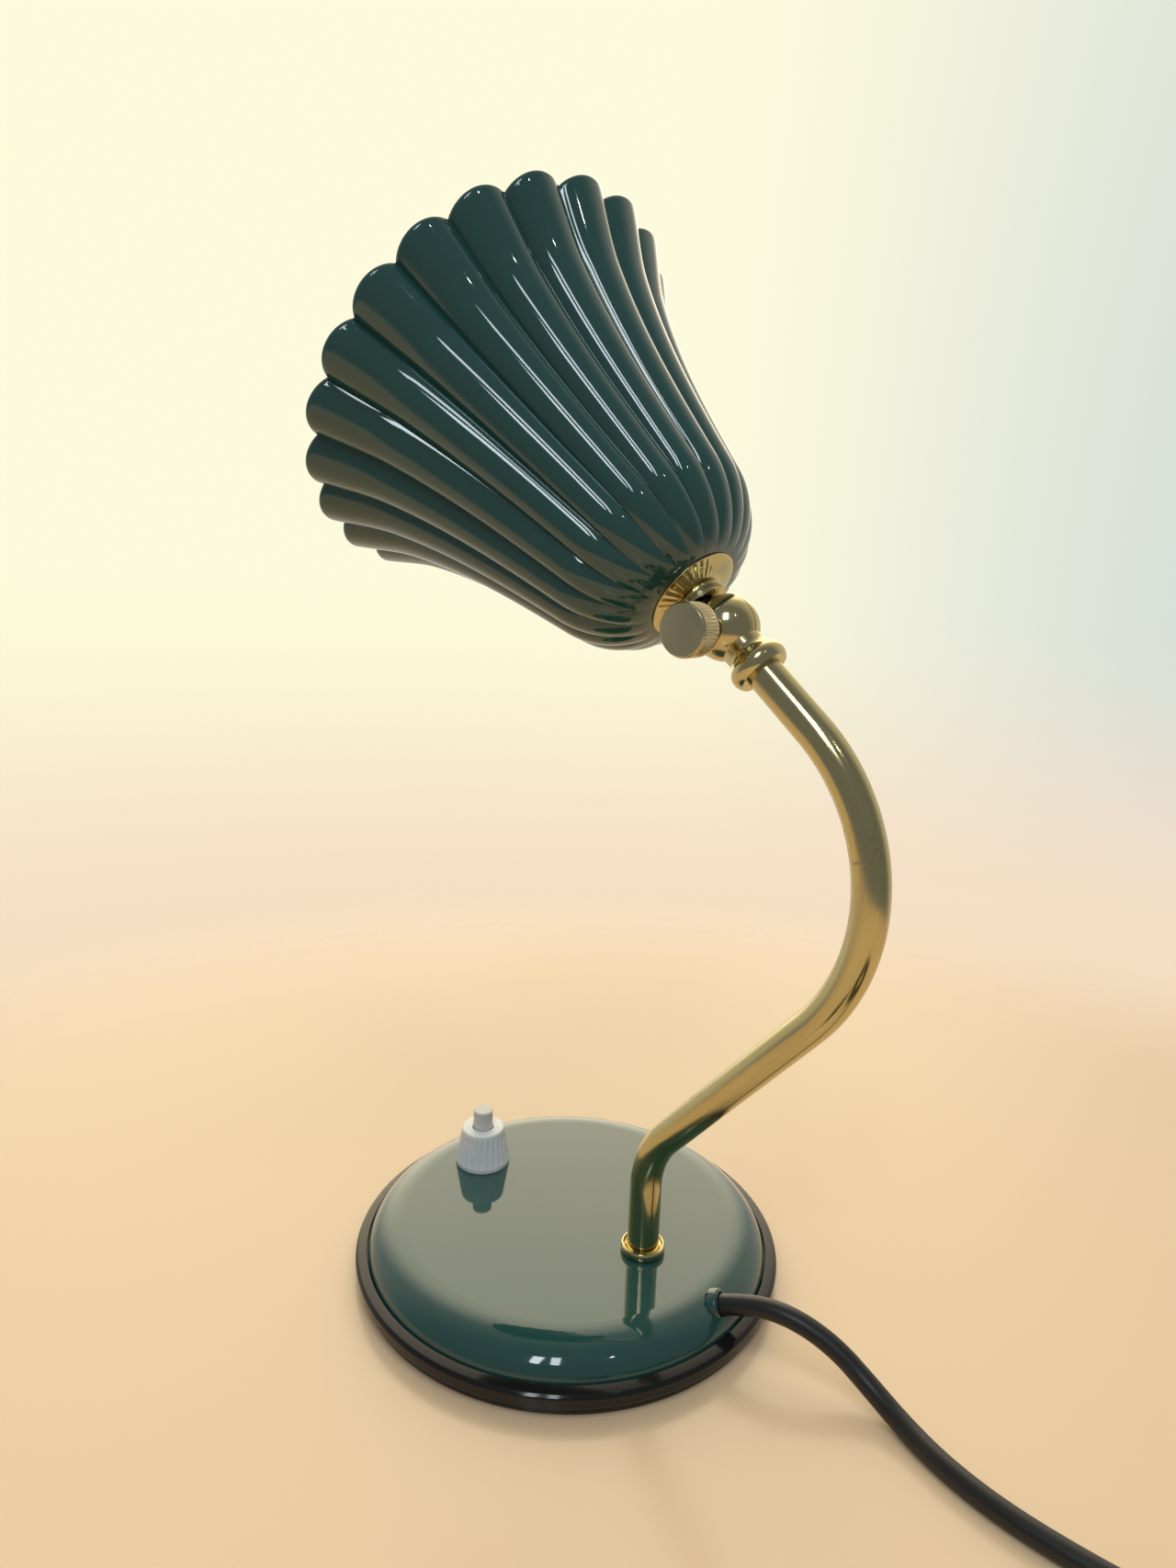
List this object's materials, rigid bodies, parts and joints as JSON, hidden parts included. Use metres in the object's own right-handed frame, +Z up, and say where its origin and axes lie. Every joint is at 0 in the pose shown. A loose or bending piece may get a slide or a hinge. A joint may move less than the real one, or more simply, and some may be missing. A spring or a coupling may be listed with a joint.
{
  "type": "desk lamp",
  "caption": "Swan-neck desk lamp: round foot with push switch, bent brass arm, tilting knuckle with thumb screw and a fluted bell shade round a screw-in bulb, with mains cord and plug.",
  "frame": {"origin": "centre of the foot's flat underside, on the table", "axes": "+Z up; the push switch is towards -Y; the arm's foot and the cord leave towards +Y; the thumb screw points to +X"},
  "size_m": [0.1835, 0.3429, 0.3306],
  "materials": {
    "felt": "matte felt",
    "steel": "zinc plated",
    "black_enamel": "high gloss black enamel",
    "green_lacquer": "high gloss dark green lacquer",
    "brass": "polished, lightly worn",
    "contact_brass": "plain",
    "white_plastic": "ivory white, satin",
    "grey_plastic": "off-white, worn",
    "opal_glass": "opal white",
    "black_pvc": "semi-gloss flexible sheath",
    "clear_lead": "twin insulated lead"
  },
  "bodies": {
    "lamp": {"felt_pad": "felt", "base_plate": "steel", "base_ring": "black_enamel", "base_cover": "green_lacquer", "cover_posts": "steel", "plate_screws": "steel", "arm_tube": "brass", "arm_collar": "brass", "arm_washer": "steel", "arm_nut": "steel", "switch_body": "grey_plastic", "switch_spring": "steel", "switch_nut": "white_plastic", "knuckle_lower": "brass", "terminal_block": "grey_plastic", "arm_lead": "clear_lead", "switch_lead": "clear_lead", "inner_cord": "black_pvc", "cord_grip": "grey_plastic", "cord_run": "black_pvc", "cord_coil": "black_pvc", "coil_tie": "black_pvc", "plug_body": "black_pvc", "plug_pins": "contact_brass"},
    "head": {"knuckle_upper": "brass", "neck_ring": "brass", "rosette": "brass", "shade": "green_lacquer", "shade_washer": "steel", "shade_nut": "steel", "holder_cup": "white_plastic", "holder_insert": "white_plastic", "contact_sleeve": "contact_brass", "contact_tongue": "contact_brass", "holder_skirt": "white_plastic", "bulb_cap": "contact_brass", "bulb_globe": "opal_glass", "head_lead": "clear_lead"},
    "thumb": {"thumb_screw": "brass"},
    "plunger": {"switch_plunger": "grey_plastic"}
  },
  "joints": [
    {"name": "head_tilt", "type": "hinge", "parent": "lamp", "child": "head", "pos_m": [0, 0.0482, 0.21334], "axis": [1, 0, 0], "range_deg": [-60, 100]},
    {"name": "thumb_turn", "type": "hinge", "parent": "head", "child": "thumb", "pos_m": [0, 0.0482, 0.21334], "axis": [1, 0, 0], "range_deg": [0, 360]},
    {"name": "switch_press", "type": "slide", "parent": "lamp", "child": "plunger", "axis": [0, 0, -1], "range_m": [0, 0.0025], "stiffness_N_per_m": 1200, "deforming": ["switch_spring"]}
  ]
}
